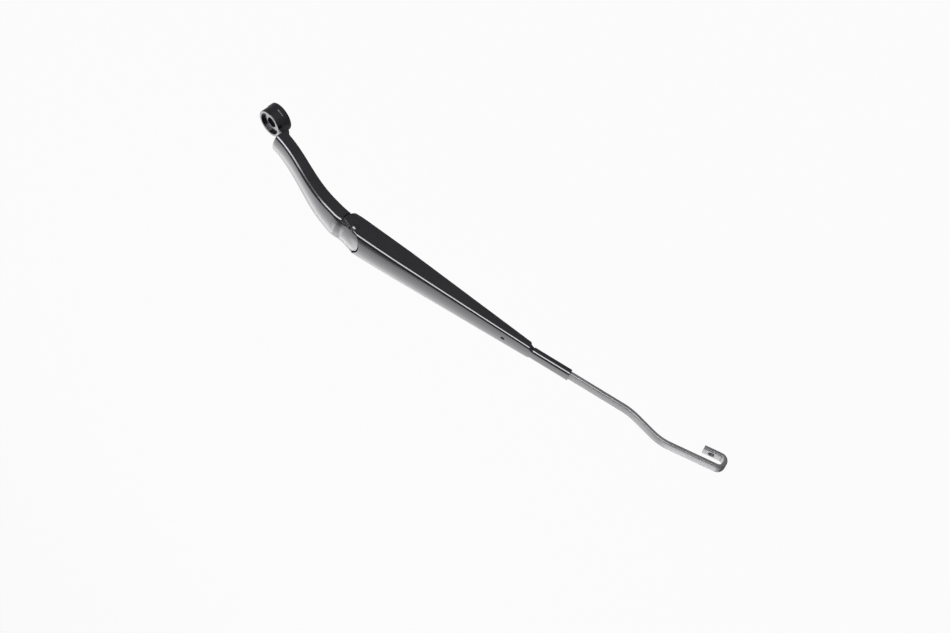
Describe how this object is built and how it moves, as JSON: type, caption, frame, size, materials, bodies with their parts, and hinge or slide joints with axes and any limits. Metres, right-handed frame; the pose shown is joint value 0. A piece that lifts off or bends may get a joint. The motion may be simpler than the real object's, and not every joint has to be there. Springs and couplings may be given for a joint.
{
  "type": "wiper arm",
  "caption": "Windscreen wiper arm: cast head with spindle boss, hinged tapering channel, flat rod ending in a hook for the blade.",
  "frame": {"origin": "on the spindle axis, on the seat of the spindle nut in the boss's recess", "axes": "+Z out of the car along the spindle axis, +X along the arm from the boss to the blade's hook, +Y across; the arm is symmetric in Y"},
  "size_m": [0.4317, 0.0298, 0.1134],
  "materials": {
    "head_paint": "gloss",
    "channel_paint": "gloss",
    "rivet_paint": "gloss",
    "rod_paint": "satin",
    "bush_metal": "satin",
    "pin_steel": "satin",
    "link_steel": "satin",
    "spring_steel": "satin"
  },
  "bodies": {
    "head": {"arm_head": "head_paint", "pivot_bush_near": "bush_metal", "pivot_bush_far": "bush_metal", "anchor_pin": "pin_steel"},
    "arm": {"retainer_channel": "channel_paint", "hook_rod": "rod_paint", "pivot_rivet": "rivet_paint"},
    "spring_line": {"spring_link": "link_steel", "tension_spring": "spring_steel"}
  },
  "joints": [
    {"name": "arm_pivot", "type": "hinge", "parent": "head", "child": "arm", "pos_m": [0.1097, 0, 0.0122], "axis": [0, -1, 0], "range_deg": [0, 45], "stiffness_Nm_per_rad": 0.6, "springref_deg": -74.48, "deforming": ["tension_spring"]},
    {"name": "spring_swing", "type": "hinge", "parent": "head", "child": "spring_line", "pos_m": [0.10124, 0, 0.01141], "axis": [0, -1, 0], "range_deg": [0, 41.71]}
  ],
  "couplings": [
    {"joint": "spring_swing", "follows": "arm_pivot", "ratio": 0.92474}
  ]
}
